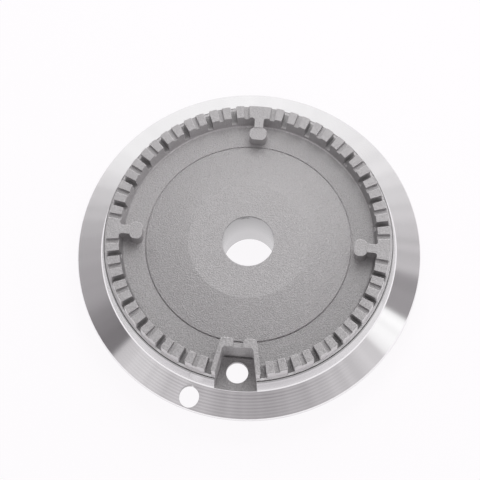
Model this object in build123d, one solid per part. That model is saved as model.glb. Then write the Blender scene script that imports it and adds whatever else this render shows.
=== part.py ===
from build123d import *
import os
from math import cos, radians, sin, tan

# Flame spreader of a large gas hob burner: one aluminium die casting, turned on its outside.
# The axis of the mixing tube is Z, and Z = 0 is the lower end of that tube. The electrode notch
# is at the front, towards -Y. All sizes are in millimetres and all angles in degrees.

# Overall
overall_height = 25.0  # from the end of the mixing tube to the tops of the teeth
floor_thickness = 2.3  # of the dish
cut_allowance = 1.0  # by which each cutter passes the surface that it starts from

# Conical flange, turned
flange_diameter = 110.0
flange_slope = 31.0
flange_thickness = 1.7  # at the skirt, thinning towards the edge
flange_edge_height = 1.2
flange_edge_chamfer = 0.3
flange_root_chamfer = 0.35

# Band between the flange and the crown, turned, with a narrow groove between the crown and its top
band_height = 6.7
band_taper = 7.65
band_drop = 0.3  # of its top below the shoulder of the crown
groove_width = 0.3
groove_depth = 0.5

# Crown: the ring of teeth that the cap rests on
crown_diameter = 90.0  # outside, at the tops of the teeth
crown_height = 5.3  # above the dish
crown_wall = 4.0  # at the tops of the teeth
crown_inner_draft = 10.5
crown_root_chamfer = 0.35
shoulder_width = 0.7  # step at the foot of the crown, level with the floors of the deep slots
skirt_wall = 2.6  # below the crown, behind the band
skirt_draft = 6.0
skirt_root_chamfer = 1.0

# Flame slots
slot_pitches = 32  # deep slots, bosses and the notch share this division
deep_slot_width = 1.8
deep_slot_depth = 4.1
deep_slot_chamfer = 0.35  # on the corners of the teeth at the outer ends of the deep slots
shallow_slot_width = 1.6
shallow_slot_depth = 1.0

# Dish
dish_line_diameter = 65.9  # fine groove round the raised middle
dish_line_width = 0.4
dish_line_depth = 0.35
plateau_diameter = 38.0
plateau_height = 3.0  # above the outer part of the dish
dish_step = 0.3  # from the foot of the slope down to the outer part of the dish

# Mixing tube
bore_diameter = 16.6
tube_wall = 2.2
tube_root_chamfer = 2.0
bore_chamfer = 0.4

# Register that drops into the burner cup
register_diameter = 61.0
register_wall = 2.2
register_length = 8.5

# Bosses that carry the ejector pads, at the back and at both sides
boss_angles = (0, 90, 180)
neck_width = 2.8
neck_corner_radius = 1.0
pad_distance = 35.65  # from the axis to the middle of the pad
pad_length = 4.1  # along the radius
pad_width = 5.5
pad_corner_radius = 1.75
pad_recess = 0.2

# Electrode notch at the front: its back wall is two rounded posts with a thinner web between them
notch_angle = 270
notch_wall = 1.5
notch_back = 35.9  # from the axis to the face of its back wall
notch_post = 2.9  # thickness of the back wall at its posts
notch_web = 1.7
notch_post_radius = 1.1
notch_corner_radius = 0.9  # inside, between the back wall and the side walls
notch_floor_thickness = 2.2
ridge_distance = 0.45  # low ridge across the notch's floor, in front of the back wall
ridge_width = 0.4
ridge_height = 0.5
ignition_slot_width = 3.1  # through the top of the web

# Holes for the electrode, in the notch's floor, and for the thermocouple, in the flange
electrode_hole_diameter = 7.0
electrode_hole_distance = 41.0
electrode_hole_chamfer = 0.8
thermocouple_hole_diameter = 6.4
thermocouple_hole_distance = 51.3
thermocouple_hole_angle = -106.5

# Levels and radii that follow from the sizes above
top = overall_height
dish_level = top - crown_height
underside_level = dish_level - floor_thickness
flange_radius = flange_diameter / 2
crown_radius = crown_diameter / 2
crown_inner_radius = crown_radius - crown_wall
shoulder_radius = crown_radius + shoulder_width
shoulder_level = top - deep_slot_depth
band_top_radius = shoulder_radius + groove_width
band_top_level = shoulder_level - band_drop
band_radius = band_top_radius + band_height * tan(radians(band_taper))
skirt_radius = band_radius - skirt_wall
flange_level = band_top_level - band_height
flange_edge_level = flange_level - (flange_radius - band_radius) * tan(radians(flange_slope))
flange_drop = flange_thickness / cos(radians(flange_slope))
register_radius = register_diameter / 2
bore_radius = bore_diameter / 2
plateau_radius = plateau_diameter / 2
dish_line_radius = dish_line_diameter / 2
plateau_level = dish_level + plateau_height
slot_pitch = 360 / slot_pitches
notch_floor_level = flange_level
notch_underside_level = notch_floor_level - notch_floor_thickness


def near(shape, x, y):
    """The vertex of a plan or section nearest to a point."""
    return shape.vertices().sort_by_distance((x, y, 0))[0]


def casting_profile():
    """Half section of the casting, without its slots, notch, bosses and holes."""
    crown_inner_foot_radius = crown_inner_radius - crown_height * tan(radians(crown_inner_draft))
    groove_level = band_top_level - groove_depth
    skirt_foot_level = flange_level + skirt_wall * tan(radians(flange_slope)) - flange_drop
    skirt_top_radius = skirt_radius - (underside_level - skirt_foot_level) * tan(radians(skirt_draft))
    flange_under_level = flange_edge_level - flange_edge_height
    line_inner_radius = dish_line_radius - dish_line_width
    tube_radius = bore_radius + tube_wall
    under_plateau_level = plateau_level - floor_thickness
    register_inner_radius = register_radius - register_wall

    bore_top = (bore_radius, plateau_level)
    plateau_edge = (plateau_radius, plateau_level)
    slope_foot = (line_inner_radius, dish_level + dish_step)
    dish_line = [
        (line_inner_radius, dish_level - dish_line_depth),
        (dish_line_radius, dish_level - dish_line_depth),
        (dish_line_radius, dish_level),
    ]
    crown_root = (crown_inner_foot_radius, dish_level)
    crown_inner_edge = (crown_inner_radius, top)
    crown_outer_edge = (crown_radius, top)
    shoulder = [(crown_radius, shoulder_level), (shoulder_radius, shoulder_level)]
    groove = [(shoulder_radius, groove_level), (band_top_radius, groove_level)]
    band_top = (band_top_radius, band_top_level)
    flange_root = (band_radius, flange_level)
    flange_edge = (flange_radius, flange_edge_level)
    flange_under_edge = (flange_radius, flange_under_level)
    skirt_foot = (skirt_radius, skirt_foot_level)
    skirt_top = (skirt_top_radius, underside_level)
    register = [
        (register_radius, underside_level),
        (register_radius, underside_level - register_length),
        (register_inner_radius, underside_level - register_length),
        (register_inner_radius, underside_level),
    ]
    plateau_under_edge = (plateau_radius, under_plateau_level)
    tube_top = (tube_radius, under_plateau_level)
    tube_end = [
        (tube_radius, 0),
        (bore_radius + bore_chamfer, 0),
        (bore_radius, bore_chamfer),
    ]

    outline = [bore_top, plateau_edge, slope_foot, *dish_line, crown_root, crown_inner_edge, crown_outer_edge]
    outline += [*shoulder, *groove, band_top, flange_root, flange_edge, flange_under_edge]
    outline += [skirt_foot, skirt_top, *register, plateau_under_edge, tube_top, *tube_end]
    section = make_face(Polyline(*outline, close=True))
    for corner, size in (
        (crown_root, crown_root_chamfer),
        (flange_root, flange_root_chamfer),
        (flange_edge, flange_edge_chamfer),
        (skirt_top, skirt_root_chamfer),
        (tube_top, tube_root_chamfer),
    ):
        section = chamfer(near(section, *corner), size)
    return section


def turned_casting():
    """The casting as it is before its slots and notch: a revolved section."""
    return revolve(Plane.XZ * casting_profile(), Axis.Z)


def neck_plan():
    """Plan of a boss's neck, flared where it runs into the crown."""
    pad_outer = pad_distance + pad_length / 2
    neck = Pos(pad_outer, 0) * Rectangle(
        crown_radius - pad_outer, neck_width, align=(Align.MIN, Align.CENTER)
    )
    head = Pos(crown_inner_radius, 0) * Rectangle(
        crown_wall / 2, neck_width + 4 * neck_corner_radius, align=(Align.MIN, Align.CENTER)
    )
    plan = neck + head
    corners = [near(plan, crown_inner_radius, side * neck_width / 2) for side in (-1, 1)]
    return fillet(corners, neck_corner_radius) & Circle(crown_radius - crown_wall / 2)


def boss(angle):
    """A neck from the crown to an ejector pad, standing on the dish."""
    foot = dish_level - floor_thickness / 2
    neck = extrude(Pos(0, 0, foot) * neck_plan(), top - foot)
    pad_plan = RectangleRounded(pad_length, pad_width, pad_corner_radius)
    pad = extrude(Pos(pad_distance, 0, foot) * pad_plan, top - pad_recess - foot)
    return Rot(0, 0, angle) * (neck + pad)


def slot(angle, width, depth, corner_chamfer=0.0):
    """Cutter for one flame slot across the crown, which may widen at its outer end."""
    inner = pad_distance + pad_length / 2
    level = top - depth
    height = depth + cut_allowance
    cutter = Pos(inner, 0, level) * Box(
        flange_radius - inner, width, height, align=(Align.MIN, Align.CENTER, Align.MIN)
    )
    if corner_chamfer:
        start = crown_radius - corner_chamfer
        end = crown_radius + corner_chamfer
        flare = end - start
        mouth = [(start, -width / 2), (start, width / 2), (end, width / 2 + flare), (end, -width / 2 - flare)]
        cutter += extrude(Pos(0, 0, level) * make_face(Polyline(*mouth, close=True)), height)
    return Rot(0, 0, angle) * cutter


def angle_between(a, b):
    """Smallest angle between two directions round the axis."""
    return abs((a - b + 180) % 360 - 180)


def deep_slots():
    """Main flame slots, one at each division that is clear of the bosses and the notch."""
    taken = [*boss_angles, notch_angle]
    angles = [i * slot_pitch for i in range(slot_pitches)]
    free = [a for a in angles if min(angle_between(a, t) for t in taken) > slot_pitch / 2]
    return [slot(a, deep_slot_width, deep_slot_depth, deep_slot_chamfer) for a in free]


def shallow_slots():
    """Flame-carrying slots halfway between the divisions, except beside the notch."""
    angles = [(i + 0.5) * slot_pitch for i in range(slot_pitches)]
    free = [a for a in angles if angle_between(a, notch_angle) > slot_pitch]
    return [slot(a, shallow_slot_width, shallow_slot_depth) for a in free]


def notch_plan(inset, back, front):
    """Plan of the notch, its sides parallel to the deep slots next to it and inset from them."""

    def side(distance):
        gap = deep_slot_width / 2 + inset
        return (distance * sin(radians(slot_pitch)) - gap) / cos(radians(slot_pitch))

    corners = [(-side(back), -back), (side(back), -back), (side(front), -front), (-side(front), -front)]
    return make_face(Polyline(*corners, close=True))


def rounded_back(plan, radius):
    """A plan with the corners on its back edges rounded."""
    back = plan.vertices().group_by(Axis.Y)[-1]
    return fillet(back, radius)


def notch_block():
    """Walls and floor round the notch, from below the dish up to the tops of the teeth."""
    plan = notch_plan(0, notch_back - notch_post, flange_radius)
    recess = Pos(0, notch_web - notch_back) * Rectangle(
        ignition_slot_width, notch_post, align=(Align.CENTER, Align.MIN)
    )
    wall_end_radius = (crown_radius + skirt_radius) / 2
    walls_plan = rounded_back(plan - recess, notch_post_radius) & Circle(wall_end_radius)
    walls = extrude(Pos(0, 0, notch_underside_level) * walls_plan, top - notch_underside_level)
    floor = extrude(Pos(0, 0, notch_underside_level) * (plan & Circle(band_radius)), notch_floor_thickness)
    return walls + floor


def notch_cutters():
    """The notch itself, with a ridge left across its floor, and the ignition slot in its web."""
    ridge_top = notch_floor_level + ridge_height
    ridge_back = notch_back + ridge_distance
    pocket = rounded_back(notch_plan(notch_wall, notch_back, flange_radius), notch_corner_radius)
    behind_ridge = pocket & notch_plan(notch_wall, notch_back - notch_post, ridge_back)
    before_ridge = pocket & notch_plan(notch_wall, ridge_back + ridge_width, flange_radius)
    ignition_slot = Pos(0, -notch_back, top - shallow_slot_depth) * Box(
        ignition_slot_width,
        4 * notch_web,
        shallow_slot_depth + cut_allowance,
        align=(Align.CENTER, Align.CENTER, Align.MIN),
    )
    return [
        extrude(Pos(0, 0, ridge_top) * pocket, top + cut_allowance - ridge_top),
        extrude(Pos(0, 0, notch_floor_level) * behind_ridge, ridge_height),
        extrude(Pos(0, 0, notch_floor_level) * before_ridge, ridge_height),
        ignition_slot,
    ]


def holes():
    """Cutters for the electrode and thermocouple holes."""
    electrode_radius = electrode_hole_diameter / 2
    electrode_place = Pos(0, -electrode_hole_distance, notch_underside_level)
    electrode = electrode_place * Cylinder(
        electrode_radius, notch_floor_thickness, align=(Align.CENTER, Align.CENTER, Align.MIN)
    )
    electrode_lead = electrode_place * Cone(
        electrode_radius + electrode_hole_chamfer,
        electrode_radius,
        electrode_hole_chamfer,
        align=(Align.CENTER, Align.CENTER, Align.MIN),
    )
    thermocouple_place = Rot(0, 0, thermocouple_hole_angle) * Pos(thermocouple_hole_distance, 0, 0)
    thermocouple = thermocouple_place * Cylinder(
        thermocouple_hole_diameter / 2, top, align=(Align.CENTER, Align.CENTER, Align.MIN)
    )
    return [electrode, electrode_lead, thermocouple]


def flame_spreader():
    """The finished part."""
    casting = turned_casting() + [boss(angle) for angle in boss_angles]
    casting += notch_block()
    casting -= deep_slots() + shallow_slots()
    casting -= notch_cutters()
    casting -= holes()
    return casting


os.makedirs("parts", exist_ok=True)
part = flame_spreader()
part.label = "flame_spreader"
export_step(part, "parts/flame_spreader.step")
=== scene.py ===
from math import cos, pi, radians, sin

import bpy
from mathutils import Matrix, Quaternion, Vector

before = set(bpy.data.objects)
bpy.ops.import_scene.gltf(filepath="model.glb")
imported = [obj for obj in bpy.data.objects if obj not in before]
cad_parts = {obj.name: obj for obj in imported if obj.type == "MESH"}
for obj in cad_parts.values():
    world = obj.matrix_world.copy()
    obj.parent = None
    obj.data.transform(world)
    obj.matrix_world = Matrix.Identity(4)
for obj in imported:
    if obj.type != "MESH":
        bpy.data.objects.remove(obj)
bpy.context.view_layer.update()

# Flame spreader
# One aluminium pressure die casting. The mould leaves a fine sandy skin on the dish and the crown,
# and a lathe has cut the band, the sloping flange and the bore bright. On the band and the flange
# its feed marks run round the axis.
MM = 0.001  # metres in a millimetre


def linear(code):
    """Linear RGBA of an sRGB hex colour."""
    values = [int(code[i:i + 2], 16) / 255 for i in (1, 3, 5)]
    return [v / 12.92 if v <= 0.04045 else ((v + 0.055) / 1.055) ** 2.4 for v in values] + [1.0]


def add(tree, kind, inputs=(), **settings):
    """Adds a node, with its settings and with a value or a linked socket for each named input."""
    node = tree.nodes.new("ShaderNode" + kind)
    for name, value in settings.items():
        setattr(node, name, value)
    for name, value in dict(inputs).items():
        if isinstance(value, bpy.types.NodeSocket):
            tree.links.new(value, node.inputs[name])
        else:
            node.inputs[name].default_value = value
    return node


aluminium = bpy.data.materials.new("die_cast_and_turned_aluminium")
aluminium.use_nodes = True
tree = aluminium.node_tree
tree.nodes.clear()

# Where a point is. The value named front runs from -1 straight behind the axis to 1 straight before it.
# Shades that follow it or another direction are matched to one photograph, so they hold some of its
# light, and they stay on the part when it is turned or lit in another way.
place = add(tree, "TexCoord").outputs["Object"]
height = add(tree, "SeparateXYZ", {0: place}).outputs["Z"]
backward = add(tree, "SeparateXYZ", {0: place}).outputs["Y"]
plan = add(tree, "VectorMath", {0: place, 1: (1, 1, 0)}, operation="MULTIPLY").outputs[0]
radius = add(tree, "VectorMath", {0: plan}, operation="LENGTH").outputs["Value"]
outward = add(tree, "VectorMath", {0: plan}, operation="NORMALIZE").outputs[0]
around = add(tree, "VectorMath", {0: (0, 0, 1), 1: outward}, operation="CROSS_PRODUCT").outputs[0]
front = add(tree, "VectorMath", {0: outward, 1: (0, -1, 0)}, operation="DOT_PRODUCT").outputs["Value"]

# How its face is turned. Faces that were turned about the axis are shaded round instead of in flats.
ROUND_SKEW = 0.1  # sine of the angle by which such a face may look aside
SIDE_SKEW = 0.7  # and from which a face is the side of a slot
LEVEL_RISE = 0.95  # upward part of the normal of a level face
DOWNWARD_RISE = -0.1

face = add(tree, "NewGeometry").outputs["True Normal"]
rise = add(tree, "SeparateXYZ", {0: face}).outputs["Z"]
sideways = add(tree, "VectorMath", {0: face, 1: around}, operation="DOT_PRODUCT").outputs["Value"]
forward = add(tree, "VectorMath", {0: face, 1: outward}, operation="DOT_PRODUCT").outputs["Value"]
skew = add(tree, "Math", {0: sideways}, operation="ABSOLUTE").outputs[0]
is_round = add(tree, "Math", {0: skew, 1: ROUND_SKEW}, operation="LESS_THAN").outputs[0]
is_side = add(tree, "Math", {0: skew, 1: SIDE_SKEW}, operation="GREATER_THAN").outputs[0]
is_steep = add(tree, "Math", {0: rise, 1: LEVEL_RISE}, operation="LESS_THAN").outputs[0]
not_below = add(tree, "Math", {0: rise, 1: DOWNWARD_RISE}, operation="GREATER_THAN").outputs[0]

round_plan = add(tree, "VectorMath", {0: outward, "Scale": forward}, operation="SCALE").outputs[0]
upright = add(tree, "CombineXYZ", {"Z": rise}).outputs[0]
round_face = add(tree, "VectorMath", {0: round_plan, 1: upright}, operation="ADD").outputs[0]
round_face = add(tree, "VectorMath", {0: round_face}, operation="NORMALIZE").outputs[0]
smooth = add(
    tree, "Mix",
    {"Factor": is_round, "A": face, "B": round_face},
    data_type="VECTOR",
).outputs["Result"]

# What the lathe cut: the slopes and walls outside the crown, and the bore
TURNED_RADIUS = 45.8 * MM
BORE_RADIUS = 8.8 * MM

outside = add(tree, "Math", {0: radius, 1: TURNED_RADIUS}, operation="GREATER_THAN").outputs[0]
bored = add(tree, "Math", {0: radius, 1: BORE_RADIUS}, operation="LESS_THAN").outputs[0]
turned = add(tree, "Math", {0: outside, 1: bored}, operation="ADD").outputs[0]
for mask in (is_steep, not_below, is_round):
    turned = add(tree, "Math", {0: turned, 1: mask}, operation="MULTIPLY").outputs[0]

# A dark line on the band's inner edge, beside the narrow groove round the crown: painted shade, where
# the groove's shadow falls. It is darkest in front, and it stops at the electrode notch, which lies
# lower.
LINE_INNER_RADIUS = 45.95 * MM
LINE_OUTER_RADIUS = 46.35 * MM
LINE_SHADE = 0.55
LINE_BEGINS = -0.1  # value of front where the line begins
LINE_FULL = 0.3  # and where it is darkest
NOTCH_TOP = 19.4 * MM

past_groove = add(tree, "Math", {0: radius, 1: LINE_INNER_RADIUS}, operation="GREATER_THAN").outputs[0]
before_band = add(tree, "Math", {0: radius, 1: LINE_OUTER_RADIUS}, operation="LESS_THAN").outputs[0]
above_notch = add(tree, "Math", {0: height, 1: NOTCH_TOP}, operation="GREATER_THAN").outputs[0]
in_line = add(
    tree, "MapRange", {"Value": front, "From Min": LINE_BEGINS, "From Max": LINE_FULL}
).outputs[0]
for mask in (past_groove, before_band, above_notch):
    in_line = add(tree, "Math", {0: in_line, 1: mask}, operation="MULTIPLY").outputs[0]
line_shade = add(
    tree, "MapRange", {"Value": in_line, "To Min": 1.0, "To Max": LINE_SHADE}
).outputs[0]

# As-cast skin: sandy grain, drawn with more contrast toward the front, where the photograph shows it
SAND_GRAIN = 0.4 * MM
SAND_FRONT = 1.5  # contrast of the grain
SAND_BACK = 0.5
SAND_FRONT_PLACE = -30 * MM  # place along Y up to which it has the first contrast
SAND_BACK_PLACE = 35 * MM  # and from which it has the second
NOISE_MIDDLE = 0.5
CAST_COLOUR = "#9F9D9E"
CAST_SPECK = "#DDDBDC"

grain = add(
    tree, "TexNoise", {"Vector": place, "Scale": 1 / SAND_GRAIN, "Detail": 3.0, "Roughness": 0.6}
).outputs["Fac"]
sandiness = add(
    tree, "MapRange",
    {
        "Value": backward,
        "From Min": SAND_FRONT_PLACE,
        "From Max": SAND_BACK_PLACE,
        "To Min": SAND_FRONT,
        "To Max": SAND_BACK,
    },
).outputs[0]
sand = add(tree, "Math", {0: grain, 1: NOISE_MIDDLE}, operation="SUBTRACT").outputs[0]
sand = add(
    tree, "Math", {0: sand, 1: sandiness, 2: NOISE_MIDDLE}, operation="MULTIPLY_ADD"
).outputs[0]
skin = add(
    tree, "Mix",
    {"Factor": sand, "A": linear(CAST_COLOUR), "B": linear(CAST_SPECK)},
    data_type="RGBA",
).outputs[2]

# Flame slots: painted shade that deepens toward their floors. Flame slots: duller toward their floors,
# which is called a film here. It may be a film from the mould or only a lack of light. The sides of
# the deep slots at the front right get a darker painted shade still.
CROWN_RADIUS = 44.95 * MM
SLOT_INNER_RADIUS = 41.2 * MM
SLOT_FADE = 0.5 * MM  # stretch of radius in which the painted shade begins
SLOT_TOP = 24.9 * MM
SLOT_FLOOR = 20.9 * MM
SLOT_SHADE = 0.76
SLOT_SIDE_SHADE = 0.62
SLOT_SIDE_TOWARD = (0.77, -0.64, 0)
SLOT_SIDE_BEGINS = 0.7  # cosine of the angle from there, where this begins
SLOT_SIDE_FULL = 0.9  # and where it is full

in_crown = add(tree, "Math", {0: radius, 1: CROWN_RADIUS}, operation="LESS_THAN").outputs[0]
in_slots = add(
    tree, "MapRange",
    {"Value": radius, "From Min": SLOT_INNER_RADIUS - SLOT_FADE, "From Max": SLOT_INNER_RADIUS},
).outputs[0]
slot_shadow = add(
    tree, "MapRange", {"Value": height, "From Min": SLOT_TOP, "From Max": SLOT_FLOOR}
).outputs[0]
for mask in (in_slots, in_crown):
    slot_shadow = add(tree, "Math", {0: slot_shadow, 1: mask}, operation="MULTIPLY").outputs[0]
slot_shade = add(tree, "MapRange", {"Value": slot_shadow, "To Min": 1.0, "To Max": SLOT_SHADE}).outputs[0]

side_shadow = add(
    tree, "VectorMath", {0: outward, 1: SLOT_SIDE_TOWARD}, operation="DOT_PRODUCT"
).outputs["Value"]
side_shadow = add(
    tree, "MapRange",
    {"Value": side_shadow, "From Min": SLOT_SIDE_BEGINS, "From Max": SLOT_SIDE_FULL},
).outputs[0]
for mask in (slot_shadow, is_side):
    side_shadow = add(tree, "Math", {0: side_shadow, 1: mask}, operation="MULTIPLY").outputs[0]
side_shade = add(
    tree, "MapRange", {"Value": side_shadow, "To Min": 1.0, "To Max": SLOT_SIDE_SHADE}
).outputs[0]

# Shallow slots: their floors are painted a little paler than the painted shade of the slots alone would
# leave them
SHALLOW_LEVEL = 24 * MM
SHALLOW_TOLERANCE = 0.2 * MM
SHALLOW_SHADE = 1.03

is_shallow = add(
    tree, "Math", {0: height, 1: SHALLOW_LEVEL, 2: SHALLOW_TOLERANCE}, operation="COMPARE"
).outputs[0]
for mask in (in_slots, in_crown):
    is_shallow = add(tree, "Math", {0: is_shallow, 1: mask}, operation="MULTIPLY").outputs[0]
shallow_shade = add(
    tree, "MapRange", {"Value": is_shallow, "To Min": 1.0, "To Max": SHALLOW_SHADE}
).outputs[0]

# Low part of the dish and inner wall of the crown: painted shade, darkest at the front right and
# lightest at the back left. The wall gets a darker painted shade still from the sides to the front.
DISH_RADIUS = 33 * MM
DISH_LEVEL = 19.75 * MM
DISH_SHADE = 0.87  # where the painted shade is darkest
DISH_SHADE_LIT = 0.99
WALL_RADIUS = 39.5 * MM
WALL_LEAN = -0.9  # outward part of the normal of a wall that faces the axis
WALL_SHADE = 0.75
WALL_SHADE_LIT = 1.17
WALL_SHADE_FRONT = 0.65
WALL_DARK_BEGINS = -0.05  # value of front where this begins
WALL_DARK_FULL = 0.25  # and where it is full
SHADE_LIGHTEST_TOWARD = radians(140)
SHADE_DARKEST_COSINE = -0.5  # cosine of the angle from there, where the painted shade is darkest
SHADE_LIGHTEST_COSINE = 0.8  # and where it is lightest

is_low = add(tree, "Math", {0: height, 1: DISH_LEVEL}, operation="LESS_THAN").outputs[0]
in_dish = add(tree, "Math", {0: radius, 1: DISH_RADIUS}, operation="GREATER_THAN").outputs[0]
in_dish = add(tree, "Math", {0: in_dish, 1: is_low}, operation="MULTIPLY").outputs[0]
near_crown = add(tree, "Math", {0: radius, 1: WALL_RADIUS}, operation="GREATER_THAN").outputs[0]
is_wall = add(tree, "Math", {0: forward, 1: WALL_LEAN}, operation="LESS_THAN").outputs[0]
is_wall = add(tree, "Math", {0: is_wall, 1: near_crown}, operation="MULTIPLY").outputs[0]

lit_share = add(
    tree, "VectorMath",
    {0: outward, 1: (cos(SHADE_LIGHTEST_TOWARD), sin(SHADE_LIGHTEST_TOWARD), 0)},
    operation="DOT_PRODUCT",
).outputs["Value"]
lit_share = add(tree, "MapRange", {"Value": lit_share, "From Min": SHADE_DARKEST_COSINE, "From Max": SHADE_LIGHTEST_COSINE}).outputs[0]
dish_painted_shade = add(
    tree, "MapRange", {"Value": lit_share, "To Min": DISH_SHADE, "To Max": DISH_SHADE_LIT}
).outputs[0]
wall_painted_shade = add(
    tree, "MapRange", {"Value": lit_share, "To Min": WALL_SHADE, "To Max": WALL_SHADE_LIT}
).outputs[0]
wall_front = add(
    tree, "MapRange",
    {
        "Value": front,
        "From Min": WALL_DARK_BEGINS,
        "From Max": WALL_DARK_FULL,
        "To Min": 1.0,
        "To Max": WALL_SHADE_FRONT,
    },
).outputs[0]
wall_painted_shade = add(tree, "Math", {0: wall_painted_shade, 1: wall_front}, operation="MULTIPLY").outputs[0]
dish_shade = add(
    tree, "Mix", {"Factor": in_dish, "A": 1.0, "B": dish_painted_shade}, data_type="FLOAT"
).outputs[0]
dish_shade = add(
    tree, "Mix", {"Factor": is_wall, "A": dish_shade, "B": wall_painted_shade}, data_type="FLOAT"
).outputs[0]

# Root of the crown: the little slope between dish and wall, drawn lighter at the back, where it
# catches the light in the photograph
ROOT_RADIUS = 40.1 * MM
ROOT_RISE = 0.5
ROOT_SHADE_BACK = 1.3
ROOT_SHADE_SIDE = 0.9
ROOT_BACK = -0.75  # value of front up to which it has the first shade
ROOT_SIDE = -0.1  # and from which it has the second

is_root = add(tree, "Math", {0: rise, 1: ROOT_RISE}, operation="GREATER_THAN").outputs[0]
before_wall = add(tree, "Math", {0: radius, 1: ROOT_RADIUS}, operation="LESS_THAN").outputs[0]
for mask in (is_steep, near_crown, before_wall):
    is_root = add(tree, "Math", {0: is_root, 1: mask}, operation="MULTIPLY").outputs[0]
root_light = add(
    tree, "MapRange",
    {
        "Value": front,
        "From Min": ROOT_BACK,
        "From Max": ROOT_SIDE,
        "To Min": ROOT_SHADE_BACK,
        "To Max": ROOT_SHADE_SIDE,
    },
).outputs[0]
root_shade = add(
    tree, "Mix", {"Factor": is_root, "A": 1.0, "B": root_light}, data_type="FLOAT"
).outputs[0]

# Floor of the fine groove round the middle: painted paler, as painted light that lifts its shade, or it
# would show too dark
DISH_LINE_RADIUS = 32.5 * MM
DISH_LINE_SHADE = 1.4

past_line = add(tree, "Math", {0: radius, 1: DISH_LINE_RADIUS}, operation="GREATER_THAN").outputs[0]
in_dish_line = add(tree, "Math", {0: past_line, 1: in_dish}, operation="SUBTRACT").outputs[0]
in_dish_line = add(tree, "Math", {0: in_dish_line, 1: is_low}, operation="MULTIPLY").outputs[0]
dish_line_shade = add(
    tree, "MapRange", {"Value": in_dish_line, "To Min": 1.0, "To Max": DISH_LINE_SHADE}
).outputs[0]

# Top edges of the teeth: a painted highlight on the side toward the back alone, where they catch the
# light
EDGE_RADIUS = 0.2 * MM
EDGE_SAMPLES = 6
TOOTH_TOP = 24.75 * MM
EDGE_LIGHT_TOWARD = (0.2, 0.98, 0)
EDGE_HIGHLIGHT_SHADE = 1.7
EDGE_HIGHLIGHT_BEGINS = 0.03  # turn of the normal in that direction, where the light edge begins
EDGE_HIGHLIGHT_FULL = 0.3  # and where it is lightest

soft_edges = add(
    tree, "Bevel", {"Radius": EDGE_RADIUS, "Normal": smooth}, samples=EDGE_SAMPLES
).outputs[0]
turn = add(tree, "VectorMath", {0: soft_edges, 1: smooth}, operation="SUBTRACT").outputs[0]
turn = add(tree, "VectorMath", {0: turn, 1: EDGE_LIGHT_TOWARD}, operation="DOT_PRODUCT").outputs["Value"]
is_top = add(tree, "Math", {0: height, 1: TOOTH_TOP}, operation="GREATER_THAN").outputs[0]
highlit_edge = add(tree, "MapRange", {"Value": turn, "From Min": EDGE_HIGHLIGHT_BEGINS, "From Max": EDGE_HIGHLIGHT_FULL}).outputs[0]
highlit_edge = add(tree, "Math", {0: highlit_edge, 1: is_top}, operation="MULTIPLY").outputs[0]
edge_highlight = add(
    tree, "MapRange", {"Value": highlit_edge, "To Min": 1.0, "To Max": EDGE_HIGHLIGHT_SHADE}
).outputs[0]

# All shades of the cast skin together, most of them painted shade and painted light. The electrode
# notch, which lies lower, has none of those of the slots, dish, wall, root and fine groove.
shade = slot_shade
for part in (side_shade, dish_shade, root_shade, dish_line_shade):
    shade = add(tree, "Math", {0: shade, 1: part}, operation="MULTIPLY").outputs[0]
shade = add(tree, "Mix", {"Factor": above_notch, "A": 1.0, "B": shade}, data_type="FLOAT").outputs[0]
for part in (line_shade, edge_highlight, shallow_shade):
    shade = add(tree, "Math", {0: shade, 1: part}, operation="MULTIPLY").outputs[0]

# Outer faces of the teeth and the shoulder at their foot: paler than the skin. The shoulder is painted
# lighter in front than at the back, as painted light.
RIM_BOTTOM = 20.8 * MM
RIM_COLOUR = "#E6E4E5"
SHOULDER_COLOUR = "#CFCDCE"
SHOULDER_FRONT_COLOUR = "#FBFAFB"
SHOULDER_BACK = -0.2  # value of front up to which it has the first colour
SHOULDER_FRONT = 0.6  # and from which it has the second

is_high = add(tree, "Math", {0: height, 1: RIM_BOTTOM}, operation="GREATER_THAN").outputs[0]
is_rim = add(tree, "Math", {0: is_high, 1: in_crown}, operation="GREATER_THAN").outputs[0]
in_front = add(
    tree, "MapRange", {"Value": front, "From Min": SHOULDER_BACK, "From Max": SHOULDER_FRONT}
).outputs[0]
shoulder = add(
    tree, "Mix",
    {"Factor": in_front, "A": linear(SHOULDER_COLOUR), "B": linear(SHOULDER_FRONT_COLOUR)},
    data_type="RGBA",
).outputs[2]
rim_skin = add(
    tree, "Mix", {"Factor": is_steep, "A": shoulder, "B": linear(RIM_COLOUR)}, data_type="RGBA"
).outputs[2]
cast_colour = add(
    tree, "Mix", {"Factor": is_rim, "A": skin, "B": rim_skin}, data_type="RGBA"
).outputs[2]
cast_colour = add(tree, "VectorMath", {0: cast_colour, "Scale": shade}, operation="SCALE").outputs[0]

# Cast surface, with the grain as relief
CAST_RELIEF = 0.28 * MM
CAST_ROUGHNESS = 0.6

cast_bump = add(
    tree, "Bump",
    {"Height": grain, "Strength": 1.0, "Distance": CAST_RELIEF, "Normal": soft_edges},
).outputs[0]
cast = add(
    tree, "BsdfPrincipled",
    {"Base Color": cast_colour, "Metallic": 1.0, "Roughness": CAST_ROUGHNESS, "Normal": cast_bump},
).outputs[0]

# Turned surface: feed marks round the axis, broken up by streaks. The lathe leaves them all round, and
# they are drawn mostly at the front, where the photograph shows them.
FEED_PITCH = 0.9 * MM  # drawn coarser than the real 0.2 mm, so that the marks show
FEED_STRENGTH = 0.05
FEED_RELIEF = 0.1 * MM
WAVE_REPEAT = 0.314  # stretch in which a wave texture of scale 1 repeats
STREAK_SIZE = 0.8 * MM
RINGS_BEGIN = 0.7  # value of front where they begin to show
RINGS_FULL = 0.97  # and where they show fully
RINGS_ELSEWHERE = 0.08  # share of them that shows elsewhere
TURNED_COLOUR = "#F8F7F8"
RING_COLOUR = "#D5D2D5"
TURNED_ROUGHNESS = 0.15

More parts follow.
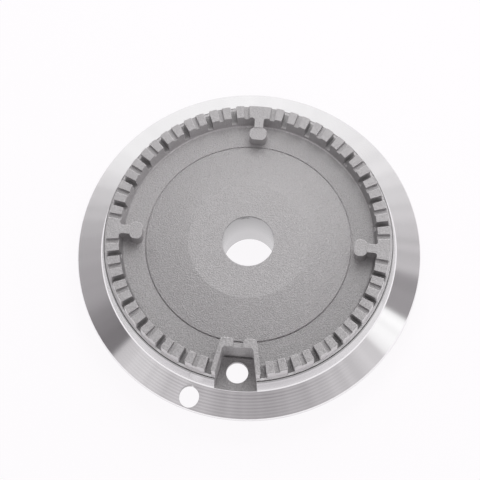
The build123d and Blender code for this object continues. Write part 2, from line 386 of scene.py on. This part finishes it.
feed_place = add(tree, "CombineXYZ", {"X": radius}).outputs[0]
feed = add(
    tree, "TexWave",
    {"Vector": feed_place, "Scale": WAVE_REPEAT / FEED_PITCH, "Distortion": 0.0},
    wave_type="BANDS", bands_direction="X", wave_profile="SIN",
).outputs["Fac"]
streak_place = add(tree, "CombineXYZ", {"X": radius, "Y": height}).outputs[0]
streaks = add(
    tree, "TexNoise", {"Vector": streak_place, "Scale": 1 / STREAK_SIZE, "Detail": 2.0}
).outputs["Fac"]
shown = add(
    tree, "MapRange",
    {
        "Value": front,
        "From Min": RINGS_BEGIN,
        "From Max": RINGS_FULL,
        "To Min": RINGS_ELSEWHERE,
        "To Max": 1.0,
    },
).outputs[0]
relief = add(tree, "Math", {0: feed, 1: shown}, operation="MULTIPLY").outputs[0]
rings = add(tree, "Math", {0: relief, 1: streaks}, operation="MULTIPLY").outputs[0]
ring_colour = add(
    tree, "Mix",
    {"Factor": rings, "A": linear(TURNED_COLOUR), "B": linear(RING_COLOUR)},
    data_type="RGBA",
).outputs[2]

# Bore: a painted shade darkens it toward the top and most of all at the very edge; its wall is also
# blotched there
BORE_BOTTOM = 8 * MM
BORE_TOP = 22.7 * MM
BORE_SHADE_BOTTOM = 0.64
BORE_SHADE_TOP = 0.38
BLOTCH_SIZE = 2.5 * MM
BLOTCH_DEPTH = 8 * MM  # by which a blotch reaches down, times the noise
BLOTCH_BEGINS = 25.3 * MM  # height at which blotches begin, with the noise added
BLOTCH_FULL = 26.3 * MM
BLOTCH_SHADE = 0.45
BORE_EDGE_BEGINS = 22.05 * MM
BORE_EDGE_FULL = 22.25 * MM
BORE_EDGE_SHADE = 0.25

bore_shade = add(
    tree, "MapRange",
    {
        "Value": height,
        "From Min": BORE_BOTTOM,
        "From Max": BORE_TOP,
        "To Min": BORE_SHADE_BOTTOM,
        "To Max": BORE_SHADE_TOP,
    },
).outputs[0]
blotches = add(
    tree, "TexNoise", {"Vector": place, "Scale": 1 / BLOTCH_SIZE, "Detail": 3.0}
).outputs["Fac"]
blotches = add(tree, "Math", {0: blotches, 1: BLOTCH_DEPTH}, operation="MULTIPLY").outputs[0]
blotches = add(tree, "Math", {0: height, 1: blotches}, operation="ADD").outputs[0]
blotch_shade = add(
    tree, "MapRange",
    {
        "Value": blotches,
        "From Min": BLOTCH_BEGINS,
        "From Max": BLOTCH_FULL,
        "To Min": 1.0,
        "To Max": BLOTCH_SHADE,
    },
).outputs[0]
edge_shade = add(
    tree, "MapRange",
    {
        "Value": height,
        "From Min": BORE_EDGE_BEGINS,
        "From Max": BORE_EDGE_FULL,
        "To Min": 1.0,
        "To Max": BORE_EDGE_SHADE,
    },
).outputs[0]
lip_shade = add(tree, "Math", {0: blotch_shade, 1: edge_shade}, operation="MINIMUM").outputs[0]
bore_shade = add(tree, "Math", {0: bore_shade, 1: lip_shade}, operation="MULTIPLY").outputs[0]

# The band, which is steeper than the flange, is painted a little darker, as painted shade of the
# steeper face
BAND_SHADE = 0.86
BAND_RISE = 0.3  # upward part of the normal, more than the band's
FLANGE_RISE = 0.5  # and less than the flange's

band_shade = add(
    tree, "MapRange",
    {
        "Value": rise,
        "From Min": BAND_RISE,
        "From Max": FLANGE_RISE,
        "To Min": BAND_SHADE,
        "To Max": 1.0,
    },
).outputs[0]
cut_shade = add(
    tree, "Mix", {"Factor": bored, "A": band_shade, "B": bore_shade}, data_type="FLOAT"
).outputs[0]
cut_shade = add(tree, "Math", {0: cut_shade, 1: line_shade}, operation="MULTIPLY").outputs[0]
cut_colour = add(
    tree, "VectorMath", {0: ring_colour, "Scale": cut_shade}, operation="SCALE"
).outputs[0]
turned_bump = add(
    tree, "Bump",
    {"Height": relief, "Strength": FEED_STRENGTH, "Distance": FEED_RELIEF, "Normal": smooth},
).outputs[0]
slope = add(tree, "VectorMath", {0: smooth, 1: around}, operation="CROSS_PRODUCT").outputs[0]
bright = add(
    tree, "BsdfPrincipled",
    {
        "Base Color": cut_colour,
        "Metallic": 1.0,
        "Roughness": TURNED_ROUGHNESS,
        "Anisotropic": 1.0,
        "Normal": turned_bump,
        "Tangent": slope,
    },
).outputs[0]

surface = add(tree, "MixShader", {0: turned, 1: cast, 2: bright}).outputs[0]
add(tree, "OutputMaterial", {"Surface": surface})

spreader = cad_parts["flame_spreader"]
spreader.data.materials.clear()
spreader.data.materials.append(aluminium)

# Floor
# A white matt table top. The camera and the metal see it as plain white, and it keeps a faint shadow.
FLOOR_SIZE = 3.0
FLOOR_COLOUR = "#FDFBFD"
FLOOR_GLOW = 0.92  # share of plain white in what they see
FLOOR_BRIGHTNESS = 1.03

bpy.ops.mesh.primitive_plane_add(size=FLOOR_SIZE, location=(0, 0, 0))
floor = bpy.context.object
floor.name = "white_table_top"
table_top = bpy.data.materials.new("white_matt_table_top")
table_top.use_nodes = True
tree = table_top.node_tree
tree.nodes.clear()
path = add(tree, "LightPath")
seen = path.outputs["Is Camera Ray"]
for ray in ("Is Glossy Ray", "Is Transmission Ray"):
    seen = add(tree, "Math", {0: seen, 1: path.outputs[ray]}, operation="MAXIMUM").outputs[0]
glow_part = add(tree, "Math", {0: seen, 1: FLOOR_GLOW}, operation="MULTIPLY").outputs[0]
lit = add(tree, "BsdfDiffuse", {"Color": linear(FLOOR_COLOUR)}).outputs[0]
glow = add(tree, "Emission", {"Color": linear(FLOOR_COLOUR), "Strength": FLOOR_BRIGHTNESS}).outputs[0]
surface = add(tree, "MixShader", {0: glow_part, 1: lit, 2: glow}).outputs[0]
add(tree, "OutputMaterial", {"Surface": surface})
floor.data.materials.append(table_top)

# Light tent
# Cloth all round, sewn from gores that meet above and a little behind the part. Soft panels light
# some gores and black flags hang before others, and the turned rings mirror them as sectors.
TENT_TOP = (-0.046, 0.320)  # where the gores meet, in plan, on a sphere of radius 1
TENT_TINT = 0.07  # share of green that the darkest gores lack
TENT_GORES = (  # direction of each seam in degrees and brightness there, which changes evenly between
    (-180, 0.35),
    (-160, 0.35),
    (-147, 0.2),
    (-138, 0.15),
    (-137, 0.55),  # a black flag ends
    (-127, 0.7),
    (-100, 0.5),
    (-80, 0.4),
    (-33, 0.65),
    (-32, 0.95),  # a strip light at the front right
    (-19, 1.05),
    (-18.5, 0.3),  # a second flag beside it
    (-4, 0.3),
    (-2, 0.5),
    (10, 0.5),
    (35, 0.67),
    (55, 0.74),
    (95, 0.95),  # the bright back
    (145, 0.9),
    (160, 0.55),
    (180, 0.35),
)
FOLD_DEPTH = 0.08  # share by which soft folds of the cloth are lighter or darker
FOLD_COUNT = 70.0  # in a full turn
FOLD_LOW = 0.3  # values of the noise between which the folds lie
FOLD_HIGH = 0.7
OVERHEAD = 0.36  # brightness of a round panel in the top of the tent
OVERHEAD_TOWARD = (*TENT_TOP, 0.946)
OVERHEAD_RADIUS = radians(26)
OVERHEAD_EDGE = radians(10)
APRON = 0.92  # brightness of the white apron at the foot of the tent
APRON_TOP = radians(15)
APRON_EDGE = radians(5)

world = bpy.data.worlds.new("light_tent")
world.use_nodes = True
bpy.context.scene.world = world
tree = world.node_tree
tree.nodes.clear()
path = add(tree, "LightPath")
direction = add(tree, "TexCoord").outputs["Generated"]
from_top = add(
    tree, "VectorMath", {0: direction, 1: (*TENT_TOP, 0)}, operation="SUBTRACT"
).outputs[0]
from_top = add(tree, "SeparateXYZ", {0: from_top})
gore = add(
    tree, "Math", {0: from_top.outputs["Y"], 1: from_top.outputs["X"]}, operation="ARCTAN2"
).outputs[0]
gore = add(tree, "MapRange", {"Value": gore, "From Min": -pi, "From Max": pi}).outputs[0]
cloth = add(tree, "ValToRGB", {"Fac": gore})
stops = cloth.color_ramp.elements
for i, (angle, brightness) in enumerate(TENT_GORES):
    along = (angle + 180) / 360
    stop = stops[i] if i < 2 else stops.new(along)
    stop.position = along
    tint = TENT_TINT * (1 - brightness)
    stop.color = (brightness, brightness * (1 - tint), brightness * (1 - tint / 3), 1)
folds = add(
    tree, "TexNoise", {"W": gore, "Scale": FOLD_COUNT, "Detail": 1.0}, noise_dimensions="1D"
).outputs["Fac"]
folds = add(
    tree, "MapRange",
    {
        "Value": folds,
        "From Min": FOLD_LOW,
        "From Max": FOLD_HIGH,
        "To Min": 1 - FOLD_DEPTH,
        "To Max": 1 + FOLD_DEPTH,
    },
).outputs[0]
lining = add(
    tree, "VectorMath", {0: cloth.outputs["Color"], "Scale": folds}, operation="SCALE"
).outputs[0]

nearness = add(
    tree, "VectorMath", {0: direction, 1: OVERHEAD_TOWARD}, operation="DOT_PRODUCT"
).outputs["Value"]
overhead = add(
    tree, "MapRange",
    {
        "Value": nearness,
        "From Min": cos(OVERHEAD_RADIUS + OVERHEAD_EDGE),
        "From Max": cos(OVERHEAD_RADIUS),
    },
).outputs[0]
upward = add(tree, "SeparateXYZ", {0: direction}).outputs["Z"]
low = add(
    tree, "MapRange",
    {"Value": upward, "From Min": sin(APRON_TOP), "From Max": sin(APRON_TOP - APRON_EDGE)},
).outputs[0]
for part, brightness in ((overhead, OVERHEAD), (low, APRON)):
    lining = add(
        tree, "Mix",
        {"Factor": part, "A": lining, "B": (brightness, brightness, brightness, 1)},
        data_type="RGBA",
    ).outputs[2]
tent = add(tree, "Background", {"Color": lining, "Strength": 1.0}).outputs[0]
backdrop = add(tree, "Background", {"Color": (1, 1, 1, 1), "Strength": 1.0}).outputs[0]
surface = add(tree, "MixShader", {0: path.outputs["Is Camera Ray"], 1: tent, 2: backdrop}).outputs[0]
add(tree, "OutputWorld", {"Surface": surface})

# Key light
# A square softbox high at the back, which makes the back a little brighter than the front.
KEY_AZIMUTH = radians(78)
KEY_ELEVATION = radians(60)
KEY_DISTANCE = 0.30  # in metres, as its size
KEY_SIZE = 0.2
KEY_POWER = 0.34  # in watts

key_data = bpy.data.lights.new("key_softbox", "AREA")
key_data.shape = "SQUARE"
key_data.size = KEY_SIZE
key_data.energy = KEY_POWER
key = bpy.data.objects.new("key_softbox", key_data)
bpy.context.collection.objects.link(key)
toward_key = Vector((
    cos(KEY_ELEVATION) * cos(KEY_AZIMUTH),
    cos(KEY_ELEVATION) * sin(KEY_AZIMUTH),
    sin(KEY_ELEVATION),
))
key.location = toward_key * KEY_DISTANCE
key.rotation_mode = "QUATERNION"
key.rotation_quaternion = toward_key.to_track_quat("Z", "Y")

# Camera
# Stands high in front, a little to the right of the electrode notch, with a long lens.
AIM_POINT = Vector((0, 0, 19.7 * MM))  # on the axis, level with the dish
CAMERA_DISTANCE = 1.0368
CAMERA_ELEVATION = radians(71.13)
CAMERA_AZIMUTH = radians(-81.75)
CAMERA_PAN = -0.0025  # by which it looks past the aim point, as a share of the distance
CAMERA_TILT = 0.0014
CAMERA_ROLL = radians(3.74)
LENS = 244.95  # in mm, as the sensor's width
SENSOR_WIDTH = 36

camera_data = bpy.data.cameras.new("camera")
camera_data.lens = LENS
camera_data.sensor_width = SENSOR_WIDTH
camera = bpy.data.objects.new("camera", camera_data)
bpy.context.collection.objects.link(camera)
away = Vector((
    cos(CAMERA_ELEVATION) * cos(CAMERA_AZIMUTH),
    cos(CAMERA_ELEVATION) * sin(CAMERA_AZIMUTH),
    sin(CAMERA_ELEVATION),
))
right = Vector((0, 0, 1)).cross(away).normalized()
up = away.cross(right)
look = (right * CAMERA_PAN + up * CAMERA_TILT - away).normalized()
camera.rotation_mode = "QUATERNION"
camera.rotation_quaternion = Quaternion(look, CAMERA_ROLL) @ look.to_track_quat("-Z", "Y")
camera.location = AIM_POINT + away * CAMERA_DISTANCE
bpy.context.scene.camera = camera
bpy.context.scene.view_settings.view_transform = "Standard"
